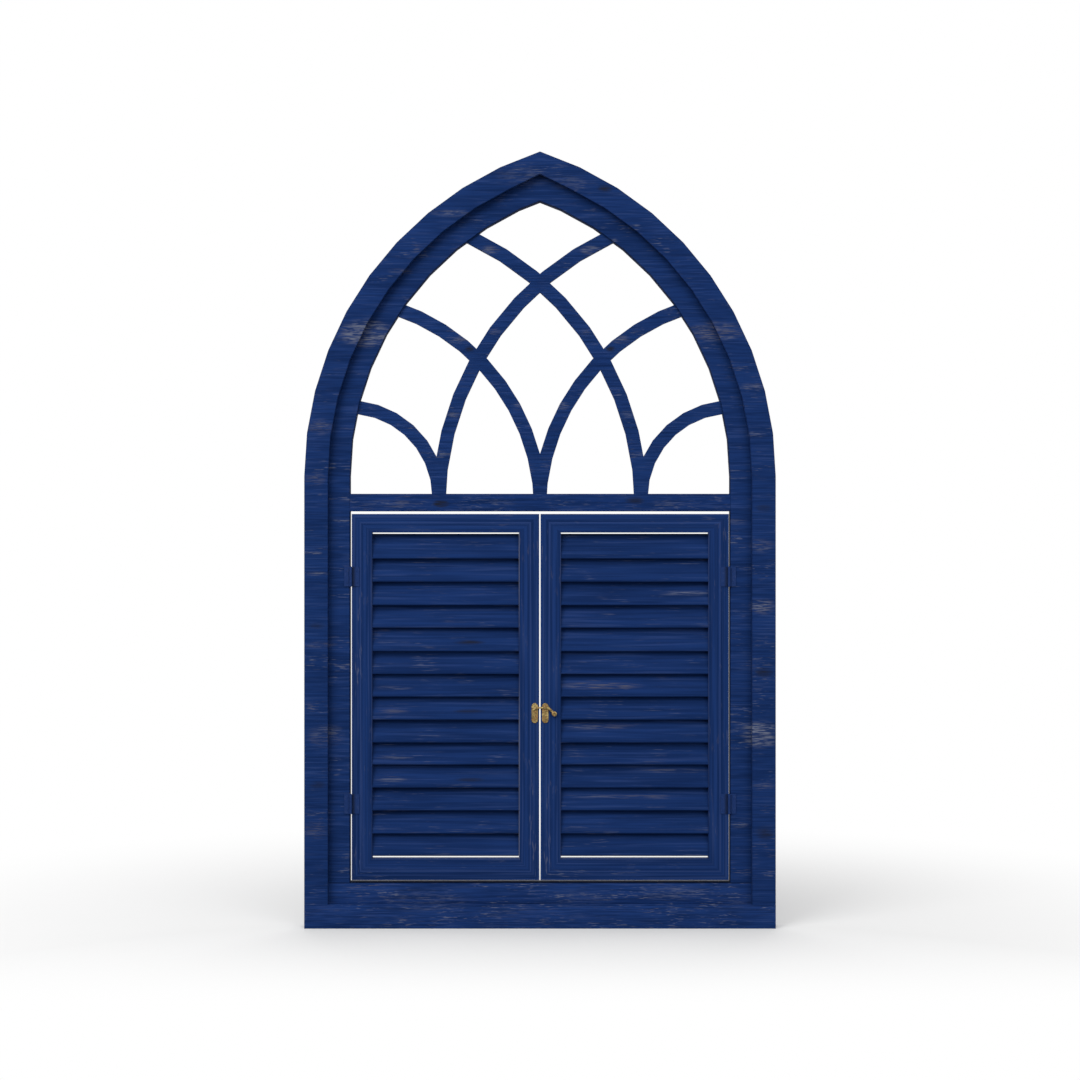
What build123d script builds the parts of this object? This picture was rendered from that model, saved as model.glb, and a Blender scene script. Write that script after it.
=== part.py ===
"""Pointed-arch timber window frame with tracery and two louvred shutters.

Axes: X to the right in the front view, Y towards the back, Z up.
Origin: middle of the sill's underside, halfway through the casing's depth.
All sizes are in millimetres.
"""

import math
import os

from build123d import *

os.makedirs("parts", exist_ok=True)

# The angle of an upright slot, and where a bar's line turns level
quarter_turn = 90.0

# Outer casing
frame_width = 1200.0
spring_height = 1152.0
casing_width = 60.0
casing_depth = 62.0

# Inner frame, set back behind the casing's front
band_width = 54.0
band_depth = 40.0

# Facetted arch: each side turns through the sweep in equal facets
arch_facets = 10
arch_sweep = 72.0

# Transom between the shutters and the tracery, its top below the spring line
transom_drop = 45.0
transom_height = 44.0

# Tracery bars spring from the middle foot and from a foot in from each jamb.
# Each bar's centre lies beyond the opening's edge, below the transom's top.
bar_width = 34.0
bar_depth = 24.0
outer_bay = 227.0
long_centre_beyond = 17.0
long_centre_drop = 32.0
middle_centre_beyond = 56.0
middle_centre_drop = 39.0
low_centre_beyond = 5.0
low_centre_drop = 9.0
low_facet_angle = 12.0

# Shutter leaves
leaf_side_gap = 5.5
leaf_centre_gap = 5.0
leaf_top_gap = 8.0
leaf_bottom_gap = 6.5
leaf_depth = 28.0
stile_width = 52.0
top_rail_height = 46.0
bottom_rail_height = 53.4

# Louvre slats
slat_count = 14
slat_width = 67.0
slat_thickness = 7.0
slat_round = 3.0
slat_angle = 72.0
slat_top_gap = 4.0
slat_bottom_gap = 7.4
slat_housing = 8.0

# Butt hinges
hinge_height = 50.0
hinge_plate = 2.0
hinge_frame_reach = 17.0
hinge_leaf_reach = 22.0
knuckle_radius = 4.0
knuckle_count = 5
knuckle_gap = 0.4
knuckle_lift = 0.3
plate_relief = 0.6
pin_radius = 1.8
pin_clearance = 0.05
pin_overhang = 1.0
upper_hinge_drop = 159.5
lower_hinge_rise = 194.5

# Latch
latch_plate_width = 16.4
latch_plate_height = 51.0
latch_plate_thickness = 2.5
latch_plate_inset = 2.7
latch_rise = 401.0
pivot_rise = 43.8
pivot_inset = 10.9
stud_radius = 3.0
stud_clearance = 0.05
cap_radius = 5.5
cap_height = 2.0
lever_gap = 0.4
lever_thickness = 4.0
hub_radius = 7.5
arm_width = 7.0
knob_radius = 6.5
knob_height = 6.0
knob_dimple_radius = 2.6
knob_dimple_depth = 1.2
knob_offset = (23.1, -19.9)
arm_bend = (10.0, -6.6)
nose_width = 5.0
nose_drop = 4.6
nose_gap = 0.6
nose_sweep_clearance = 0.5
keeper_post_radius = 3.2
keeper_inset = 9.0
lip_offset = (-6.5, -7.0)

# Derived places
facet_angle = arch_sweep / arch_facets
half_width = frame_width / 2
casing_front = -casing_depth / 2
casing_back = casing_depth / 2
band_back = casing_back
band_front = band_back - band_depth
band_outer = half_width - casing_width
opening_half = band_outer - band_width
arch_radius = half_width / (1 - math.cos(math.radians(arch_sweep)))
arch_centre = arch_radius - half_width
sill_top = casing_width + band_width
transom_top = spring_height - transom_drop
transom_bottom = transom_top - transom_height
foot_place = opening_half - outer_bay
long_radius = opening_half + long_centre_beyond + foot_place
middle_radius = opening_half + middle_centre_beyond
low_radius = outer_bay + low_centre_beyond
bar_back = (band_front + band_back + bar_depth) / 2
leaf_front = band_front
leaf_back = leaf_front + leaf_depth
leaf_outer = opening_half - leaf_side_gap
leaf_inner = leaf_centre_gap / 2
leaf_bottom = sill_top + leaf_bottom_gap
leaf_top = transom_bottom - leaf_top_gap
field_outer = leaf_outer - stile_width
field_inner = leaf_inner + stile_width
field_bottom = leaf_bottom + bottom_rail_height
field_top = leaf_top - top_rail_height


def back_plane(depth):
    """Return the front-facing plane that lies at this depth."""
    return Plane.XZ.offset(-depth)


def corners(left, right, bottom, top):
    """Return the corner points of an upright rectangle."""
    return [(left, bottom), (right, bottom), (right, top), (left, top)]


def arc_points(centre_x, centre_z, radius, step, last, side):
    """Return facet corners on an arc, from its foot to its last step."""
    points = []
    for index in range(last + 1):
        angle = math.radians(index * step)
        x = centre_x + side * radius * math.cos(angle)
        points.append((x, centre_z + radius * math.sin(angle)))
    return points


def cut_at_middle(points):
    """Return a left-hand facet line that ends where it meets the middle plane."""
    kept = [point for point in points if point[0] < 0]
    beyond = points[len(kept)]
    last = kept[-1]
    share = -last[0] / (beyond[0] - last[0])
    return kept + [(0.0, last[1] + share * (beyond[1] - last[1]))]


def left_arch(inset):
    """Return the left arch line, inset from the outer edge, up to the middle.

    The outer line ends on the middle plane by itself. The casing's inner line
    is drawn to the middle plane at its last corner's height, and the opening
    ends where its facet meets the middle plane.
    """
    points = arc_points(arch_centre, spring_height, arch_radius - inset, facet_angle, arch_facets, -1)
    if inset == 0:
        return points
    if inset == casing_width:
        return [point for point in points if point[0] < 0] + [(0.0, points[-1][1])]
    return cut_at_middle(points)


def arch_band(outer_inset, inner_inset):
    """Return the outline of the left half of an arched band."""
    return left_arch(outer_inset) + left_arch(inner_inset)[::-1]


def opening_outline():
    """Return the outline of the arched opening above the transom."""
    left = [(-opening_half, transom_top)] + left_arch(casing_width + band_width)
    right = [(-x, z) for x, z in left[:-1]]
    return left + right[::-1]


def bar_outline(foot_x, radius, drop, side, step):
    """Return a tracery bar's outline; side is where its foot lies from its centre."""
    centre_x = foot_x - side * math.sqrt(radius**2 - drop**2)
    centre_z = transom_top - drop
    last = math.ceil(quarter_turn / step)
    outer = arc_points(centre_x, centre_z, radius + bar_width / 2, step, last, side)
    inner = arc_points(centre_x, centre_z, radius - bar_width / 2, step, last, side)
    return outer + inner[::-1]


# Casing: sill, jambs and the two halves of the arch
with BuildPart() as casing_sill:
    with BuildSketch(back_plane(casing_back)):
        Polygon(*corners(-half_width, half_width, 0, casing_width), align=None)
    extrude(amount=casing_depth)

with BuildPart() as casing_jamb_left:
    with BuildSketch(back_plane(casing_back)):
        Polygon(*corners(-half_width, -band_outer, casing_width, spring_height), align=None)
    extrude(amount=casing_depth)

with BuildPart() as casing_jamb_right:
    add(casing_jamb_left.part)
    mirror(about=Plane.YZ, mode=Mode.REPLACE)

with BuildPart() as casing_arch_left:
    with BuildSketch(back_plane(casing_back)):
        Polygon(*arch_band(0, casing_width), align=None)
    extrude(amount=casing_depth)

with BuildPart() as casing_arch_right:
    add(casing_arch_left.part)
    mirror(about=Plane.YZ, mode=Mode.REPLACE)

# Inner frame: rail, jambs and the two halves of the inner arch
with BuildPart() as band_rail:
    with BuildSketch(back_plane(band_back)):
        Polygon(*corners(-band_outer, band_outer, casing_width, sill_top), align=None)
    extrude(amount=band_depth)

with BuildPart() as band_jamb_left:
    with BuildSketch(back_plane(band_back)):
        Polygon(*corners(-band_outer, -opening_half, sill_top, spring_height), align=None)
    extrude(amount=band_depth)

with BuildPart() as band_jamb_right:
    add(band_jamb_left.part)
    mirror(about=Plane.YZ, mode=Mode.REPLACE)

with BuildPart() as band_arch_left:
    with BuildSketch(back_plane(band_back)):
        Polygon(*arch_band(casing_width, casing_width + band_width), align=None)
    extrude(amount=band_depth)

with BuildPart() as band_arch_right:
    add(band_arch_left.part)
    mirror(about=Plane.YZ, mode=Mode.REPLACE)

with BuildPart() as transom:
    with BuildSketch(back_plane(band_back)):
        Polygon(*corners(-opening_half, opening_half, transom_bottom, transom_top), align=None)
    extrude(amount=band_depth)

# Tracery: six facetted bars that cross in halved joints. A bar that leans
# right keeps its back half at a crossing and one that leans left its front half.
# A low bar is shaped to the long bar that it springs from.
long_right_leaning = bar_outline(-foot_place, long_radius, long_centre_drop, -1, facet_angle)
long_left_leaning = [(-x, z) for x, z in long_right_leaning]
middle_left_leaning = bar_outline(0, middle_radius, middle_centre_drop, 1, facet_angle)
low_left_leaning = bar_outline(-foot_place, low_radius, low_centre_drop, 1, low_facet_angle)
left_of_middle = corners(-opening_half, 0, transom_top, spring_height + arch_radius)
left_of_foot = corners(-opening_half, -foot_place, transom_top, spring_height + arch_radius)

with BuildPart() as tracery_long_left:
    with BuildSketch(back_plane(bar_back)):
        Polygon(*long_right_leaning, align=None)
        Polygon(*opening_outline(), align=None, mode=Mode.INTERSECT)
    extrude(amount=bar_depth)
    with BuildSketch(back_plane(bar_back - bar_depth / 2)):
        Polygon(*long_left_leaning, align=None)
        Polygon(*middle_left_leaning, align=None)
    extrude(amount=bar_depth, mode=Mode.SUBTRACT)

with BuildPart() as tracery_long_right:
    with BuildSketch(back_plane(bar_back)):
        Polygon(*long_left_leaning, align=None)
        Polygon(*opening_outline(), align=None, mode=Mode.INTERSECT)
    extrude(amount=bar_depth)
    with BuildSketch(back_plane(bar_back)):
        Polygon(*long_right_leaning, align=None)
        Polygon(*[(-x, z) for x, z in middle_left_leaning], align=None)
    extrude(amount=bar_depth / 2, mode=Mode.SUBTRACT)

with BuildPart() as tracery_middle_left:
    with BuildSketch(back_plane(bar_back)):
        Polygon(*middle_left_leaning, align=None)
        Polygon(*opening_outline(), align=None, mode=Mode.INTERSECT)
        Polygon(*left_of_middle, align=None, mode=Mode.INTERSECT)
    extrude(amount=bar_depth)
    with BuildSketch(back_plane(bar_back)):
        Polygon(*long_right_leaning, align=None)
    extrude(amount=bar_depth / 2, mode=Mode.SUBTRACT)

with BuildPart() as tracery_middle_right:
    with BuildSketch(back_plane(bar_back)):
        Polygon(*[(-x, z) for x, z in middle_left_leaning], align=None)
        Polygon(*opening_outline(), align=None, mode=Mode.INTERSECT)
        Polygon(*[(-x, z) for x, z in left_of_middle], align=None, mode=Mode.INTERSECT)
    extrude(amount=bar_depth)
    with BuildSketch(back_plane(bar_back - bar_depth / 2)):
        Polygon(*long_left_leaning, align=None)
    extrude(amount=bar_depth, mode=Mode.SUBTRACT)

with BuildPart() as tracery_low_left:
    with BuildSketch(back_plane(bar_back)):
        Polygon(*low_left_leaning, align=None)
        Polygon(*opening_outline(), align=None, mode=Mode.INTERSECT)
        Polygon(*left_of_foot, align=None, mode=Mode.INTERSECT)
        Polygon(*long_right_leaning, align=None, mode=Mode.SUBTRACT)
    extrude(amount=bar_depth)

with BuildPart() as tracery_low_right:
    add(tracery_low_left.part)
    mirror(about=Plane.YZ, mode=Mode.REPLACE)

# Left shutter: stiles and rails mitred from each outer to each inner corner
hinge_stile_outline = [
    (-leaf_outer, leaf_bottom),
    (-field_outer, field_bottom),
    (-field_outer, field_top),
    (-leaf_outer, leaf_top),
]
meeting_stile_outline = [
    (-leaf_inner, leaf_bottom),
    (-field_inner, field_bottom),
    (-field_inner, field_top),
    (-leaf_inner, leaf_top),
]
top_rail_outline = [
    (-leaf_outer, leaf_top),
    (-field_outer, field_top),
    (-field_inner, field_top),
    (-leaf_inner, leaf_top),
]
bottom_rail_outline = [
    (-leaf_outer, leaf_bottom),
    (-field_outer, field_bottom),
    (-field_inner, field_bottom),
    (-leaf_inner, leaf_bottom),
]

slat_tilt = math.radians(slat_angle)
slat_rise = (
    (slat_width - 2 * slat_round) * math.sin(slat_tilt)
    + (slat_thickness - 2 * slat_round) * math.cos(slat_tilt)
    + 2 * slat_round
)
slat_room = field_top - slat_top_gap - field_bottom - slat_bottom_gap
slat_pitch = (slat_room - slat_rise) / (slat_count - 1)
slat_middle = (leaf_front + leaf_back) / 2
slat_places = []
for index in range(slat_count):
    slat_height = field_bottom + slat_bottom_gap + slat_rise / 2 + index * slat_pitch
    slat_places.append((slat_middle, slat_height))

with BuildPart() as left_hinge_stile:
    with BuildSketch(back_plane(leaf_back)):
        Polygon(*hinge_stile_outline, align=None)
    extrude(amount=leaf_depth)
    with BuildSketch(Plane.YZ.offset(-field_outer - slat_housing)):
        with Locations(*slat_places):
            RectangleRounded(slat_width, slat_thickness, slat_round, rotation=slat_angle)
    extrude(amount=slat_housing, mode=Mode.SUBTRACT)

with BuildPart() as left_meeting_stile:
    with BuildSketch(back_plane(leaf_back)):
        Polygon(*meeting_stile_outline, align=None)
    extrude(amount=leaf_depth)
    with BuildSketch(Plane.YZ.offset(-field_inner)):
        with Locations(*slat_places):
            RectangleRounded(slat_width, slat_thickness, slat_round, rotation=slat_angle)
    extrude(amount=slat_housing, mode=Mode.SUBTRACT)

with BuildPart() as left_top_rail:
    with BuildSketch(back_plane(leaf_back)):
        Polygon(*top_rail_outline, align=None)
    extrude(amount=leaf_depth)

with BuildPart() as left_bottom_rail:
    with BuildSketch(back_plane(leaf_back)):
        Polygon(*bottom_rail_outline, align=None)
    extrude(amount=leaf_depth)

with BuildPart() as left_slats:
    with BuildSketch(Plane.YZ.offset(-field_outer - slat_housing)):
        with Locations(*slat_places):
            RectangleRounded(slat_width, slat_thickness, slat_round, rotation=slat_angle)
    extrude(amount=field_outer - field_inner + 2 * slat_housing)

with BuildPart() as right_hinge_stile:
    add(left_hinge_stile.part)
    mirror(about=Plane.YZ, mode=Mode.REPLACE)

with BuildPart() as right_meeting_stile:
    add(left_meeting_stile.part)
    mirror(about=Plane.YZ, mode=Mode.REPLACE)

with BuildPart() as right_top_rail:
    add(left_top_rail.part)
    mirror(about=Plane.YZ, mode=Mode.REPLACE)

with BuildPart() as right_bottom_rail:
    add(left_bottom_rail.part)
    mirror(about=Plane.YZ, mode=Mode.REPLACE)

with BuildPart() as right_slats:
    add(left_slats.part)
    mirror(about=Plane.YZ, mode=Mode.REPLACE)

# Butt hinges on the face of jamb and stile, knuckle over the side gap
pin_x = -(leaf_outer + opening_half) / 2
pin_y = leaf_front - knuckle_radius - knuckle_lift
knuckle_pitch = (hinge_height + knuckle_gap) / knuckle_count
knuckle_height = knuckle_pitch - knuckle_gap
plate_start = knuckle_radius + plate_relief
hinge_heights = (leaf_top - upper_hinge_drop, leaf_bottom + lower_hinge_rise)
hinge_bottoms = [height - hinge_height / 2 for height in hinge_heights]
plate_y = leaf_front - hinge_plate / 2
frame_knuckles = range(0, knuckle_count, 2)
leaf_knuckles = range(1, knuckle_count, 2)

with BuildPart() as left_hinge_frame_side:
    for bottom in hinge_bottoms:
        with BuildSketch(Plane.XY.offset(bottom)):
            with Locations((pin_x - (plate_start + hinge_frame_reach) / 2, plate_y)):
                Rectangle(hinge_frame_reach - plate_start, hinge_plate)
        extrude(amount=hinge_height)
        for index in frame_knuckles:
            with BuildSketch(Plane.XY.offset(bottom + index * knuckle_pitch)):
                with Locations((pin_x, pin_y)):
                    Circle(knuckle_radius)
                with Locations((pin_x - hinge_frame_reach / 2, plate_y)):
                    Rectangle(hinge_frame_reach, hinge_plate)
                with Locations((pin_x, pin_y)):
                    Circle(pin_radius, mode=Mode.SUBTRACT)
            extrude(amount=knuckle_height)

with BuildPart() as left_hinge_leaf_side:
    for bottom in hinge_bottoms:
        with BuildSketch(Plane.XY.offset(bottom)):
            with Locations((pin_x + (plate_start + hinge_leaf_reach) / 2, plate_y)):
                Rectangle(hinge_leaf_reach - plate_start, hinge_plate)
        extrude(amount=hinge_height)
        for index in leaf_knuckles:
            with BuildSketch(Plane.XY.offset(bottom + index * knuckle_pitch)):
                with Locations((pin_x, pin_y)):
                    Circle(knuckle_radius)
                with Locations((pin_x + hinge_leaf_reach / 2, plate_y)):
                    Rectangle(hinge_leaf_reach, hinge_plate)
                with Locations((pin_x, pin_y)):
                    Circle(pin_radius + pin_clearance, mode=Mode.SUBTRACT)
            extrude(amount=knuckle_height)

with BuildPart() as left_hinge_pins:
    for bottom in hinge_bottoms:
        with BuildSketch(Plane.XY.offset(bottom - pin_overhang)):
            with Locations((pin_x, pin_y)):
                Circle(pin_radius)
        extrude(amount=hinge_height + 2 * pin_overhang)

with BuildPart() as right_hinge_frame_side:
    add(left_hinge_frame_side.part)
    mirror(about=Plane.YZ, mode=Mode.REPLACE)

with BuildPart() as right_hinge_leaf_side:
    add(left_hinge_leaf_side.part)
    mirror(about=Plane.YZ, mode=Mode.REPLACE)

with BuildPart() as right_hinge_pins:
    add(left_hinge_pins.part)
    mirror(about=Plane.YZ, mode=Mode.REPLACE)

# Latch: a plate on each meeting stile, a swinging lever and its keeper
plate_middle_x = leaf_inner + latch_plate_inset + latch_plate_width / 2
latch_base_height = leaf_bottom + latch_rise
plate_middle_z = latch_base_height + latch_plate_height / 2
plate_front = leaf_front - latch_plate_thickness
pivot_x = leaf_inner + pivot_inset
pivot_z = latch_base_height + pivot_rise
lever_back = plate_front - lever_gap
lever_front = lever_back - lever_thickness
pin_distance = -pin_x - leaf_inner
sweep_radius = math.hypot(pin_distance, leaf_back - pin_y)
sweep_reach = sweep_radius - pin_distance
nose_end = sweep_reach - leaf_inner + nose_sweep_clearance
nose_reach = pivot_x - nose_end
nose_z = pivot_z - nose_drop
nose_low = nose_z - nose_width / 2
nose_high = nose_z + nose_width / 2
knob_x = pivot_x + knob_offset[0]
knob_z = pivot_z + knob_offset[1]
bend_x = pivot_x + arm_bend[0]
bend_z = pivot_z + arm_bend[1]
keeper_x = -leaf_inner - keeper_inset

with BuildPart() as latch_plate:
    with BuildSketch(back_plane(leaf_front)):
        with Locations((plate_middle_x, plate_middle_z)):
            SlotOverall(latch_plate_height, latch_plate_width, rotation=quarter_turn)
    extrude(amount=latch_plate_thickness)
    with BuildSketch(back_plane(plate_front)):
        with Locations((pivot_x, pivot_z)):
            Circle(stud_radius)
    extrude(amount=lever_gap + lever_thickness + lever_gap)
    with BuildSketch(back_plane(lever_front - lever_gap)):
        with Locations((pivot_x, pivot_z)):
            Circle(cap_radius)
    extrude(amount=cap_height)

with BuildPart() as latch_lever:
    with BuildSketch(back_plane(lever_back)):
        Polygon(*corners(-pivot_x, pivot_x, nose_low, nose_high), align=None)
        with Locations((pivot_x, pivot_z)):
            Circle(nose_reach, mode=Mode.INTERSECT)
            Circle(hub_radius)
        with BuildLine():
            arm_line = Spline((pivot_x, pivot_z), (bend_x, bend_z), (knob_x, knob_z))
        trace(arm_line, arm_width)
        with Locations((pivot_x, pivot_z)):
            Circle(stud_radius + stud_clearance, mode=Mode.SUBTRACT)
    extrude(amount=lever_thickness)
    with BuildSketch(back_plane(lever_back)):
        with Locations((knob_x, knob_z)):
            Circle(knob_radius)
    extrude(amount=knob_height)
    with BuildSketch(back_plane(lever_back - knob_height)):
        with Locations((knob_x, knob_z)):
            Circle(knob_dimple_radius)
    extrude(amount=-knob_dimple_depth, mode=Mode.SUBTRACT)

with BuildPart() as latch_keeper:
    with BuildSketch(back_plane(leaf_front)):
        with Locations((-plate_middle_x, plate_middle_z)):
            SlotOverall(latch_plate_height, latch_plate_width, rotation=quarter_turn)
    extrude(amount=latch_plate_thickness)
    with BuildSketch(back_plane(plate_front)):
        Polygon(*corners(keeper_x, pivot_x, nose_low, nose_high), align=None)
        with Locations((pivot_x, pivot_z)):
            Circle(nose_reach + nose_gap, mode=Mode.SUBTRACT)
        with Locations((keeper_x, nose_z)):
            Circle(keeper_post_radius)
        with BuildLine():
            lip_line = Line((keeper_x, nose_z), (keeper_x + lip_offset[0], nose_z + lip_offset[1]))
        trace(lip_line, nose_width)
    extrude(amount=lever_gap + lever_thickness)

pieces = {
    "casing_sill": casing_sill,
    "casing_jamb_left": casing_jamb_left,
    "casing_jamb_right": casing_jamb_right,
    "casing_arch_left": casing_arch_left,
    "casing_arch_right": casing_arch_right,
    "band_rail": band_rail,
    "band_jamb_left": band_jamb_left,
    "band_jamb_right": band_jamb_right,
    "band_arch_left": band_arch_left,
    "band_arch_right": band_arch_right,
    "transom": transom,
    "tracery_long_left": tracery_long_left,
    "tracery_long_right": tracery_long_right,
    "tracery_middle_left": tracery_middle_left,
    "tracery_middle_right": tracery_middle_right,
    "tracery_low_left": tracery_low_left,
    "tracery_low_right": tracery_low_right,
    "left_hinge_stile": left_hinge_stile,
    "left_meeting_stile": left_meeting_stile,
    "left_top_rail": left_top_rail,
    "left_bottom_rail": left_bottom_rail,
    "left_slats": left_slats,
    "right_hinge_stile": right_hinge_stile,
    "right_meeting_stile": right_meeting_stile,
    "right_top_rail": right_top_rail,
    "right_bottom_rail": right_bottom_rail,
    "right_slats": right_slats,
    "left_hinge_frame_side": left_hinge_frame_side,
    "left_hinge_leaf_side": left_hinge_leaf_side,
    "left_hinge_pins": left_hinge_pins,
    "right_hinge_frame_side": right_hinge_frame_side,
    "right_hinge_leaf_side": right_hinge_leaf_side,
    "right_hinge_pins": right_hinge_pins,
    "latch_plate": latch_plate,
    "latch_lever": latch_lever,
    "latch_keeper": latch_keeper,
}

for name, piece in pieces.items():
    piece.part.label = name
    export_step(piece.part, f"parts/{name}.step")
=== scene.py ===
import logging
import math
from dataclasses import dataclass, field, replace
from enum import Enum

import bpy
import numpy as np
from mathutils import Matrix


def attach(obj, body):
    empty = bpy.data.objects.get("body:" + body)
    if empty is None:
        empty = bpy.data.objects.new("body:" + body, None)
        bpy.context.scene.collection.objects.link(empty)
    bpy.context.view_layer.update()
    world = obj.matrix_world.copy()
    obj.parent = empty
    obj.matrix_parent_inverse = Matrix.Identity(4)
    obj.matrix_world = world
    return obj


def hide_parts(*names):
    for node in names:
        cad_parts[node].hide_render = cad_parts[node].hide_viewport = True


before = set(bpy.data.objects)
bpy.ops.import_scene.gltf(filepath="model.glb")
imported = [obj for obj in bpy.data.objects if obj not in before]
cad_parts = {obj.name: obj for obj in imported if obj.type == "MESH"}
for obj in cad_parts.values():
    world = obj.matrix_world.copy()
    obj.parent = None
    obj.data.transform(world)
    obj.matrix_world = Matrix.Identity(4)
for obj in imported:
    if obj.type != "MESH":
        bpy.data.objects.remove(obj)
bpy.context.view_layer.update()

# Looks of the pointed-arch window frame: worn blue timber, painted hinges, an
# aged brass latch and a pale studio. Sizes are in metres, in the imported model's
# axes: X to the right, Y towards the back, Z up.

LOG = logging.getLogger("arched_window")
MILLIMETRE = 0.001
Point = tuple[float, float]
Place = tuple[float, float, float]


class Grain(Enum):
    """How the lines of the paint lie: all level, or with each member of a framed leaf."""

    LEVEL = "level"
    FRAMED = "framed"


class Axis(Enum):
    """The way that a turned shape's axis points."""

    FORWARD = "forward"
    UPWARD = "upward"


class Side(Enum):
    """The half of the window that a piece belongs to, as the sign of its X."""

    LEFT = -1
    RIGHT = 1

    @property
    def word(self) -> str:
        """The side's name in piece and node names."""
        return self.name.lower()


# Shader graphs


class Signal:
    """A node socket that can stand in a Python expression."""

    def __init__(self, graph: "Graph", socket: bpy.types.NodeSocket) -> None:
        """Keep the socket and the graph that it is in."""
        self.graph = graph
        self.socket = socket

    def _math(self, operation: str, first: "Signal | float", second: "Signal | float") -> "Signal":
        """Return the Math node of two values.

        Args:
            operation: The Math node's operation.
            first: The first value.
            second: The second value.

        Returns:
            The node's result.
        """
        return self.graph.node("ShaderNodeMath", {"operation": operation}, {0: first, 1: second})

    def __add__(self, other: "Signal | float") -> "Signal":
        """Return this value plus another."""
        return self._math("ADD", self, other)

    __radd__ = __add__

    def __sub__(self, other: "Signal | float") -> "Signal":
        """Return this value minus another."""
        return self._math("SUBTRACT", self, other)

    def __rsub__(self, other: float) -> "Signal":
        """Return a number minus this value."""
        return self._math("SUBTRACT", other, self)

    def __mul__(self, other: "Signal | float") -> "Signal":
        """Return this value times another."""
        return self._math("MULTIPLY", self, other)

    __rmul__ = __mul__

    def __truediv__(self, other: "Signal | float") -> "Signal":
        """Return this value divided by another."""
        return self._math("DIVIDE", self, other)

    def __rtruediv__(self, other: float) -> "Signal":
        """Return a number divided by this value."""
        return self._math("DIVIDE", other, self)

    def larger(self, other: "Signal | float") -> "Signal":
        """Return the larger of this value and another."""
        return self._math("MAXIMUM", self, other)

    def other(self, name: str) -> "Signal":
        """Return another output of the same node."""
        return Signal(self.graph, self.socket.node.outputs[name])

    def band(self, low: float, high: float) -> "Signal":
        """Return 0 below low, 1 above high and a smooth step between.

        Args:
            low: The value where the step starts.
            high: The value where the step ends.

        Returns:
            The stepped value.
        """
        return self.graph.node(
            "ShaderNodeMapRange", {"interpolation_type": "SMOOTHSTEP"}, {0: self, 1: low, 2: high}
        )


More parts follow.
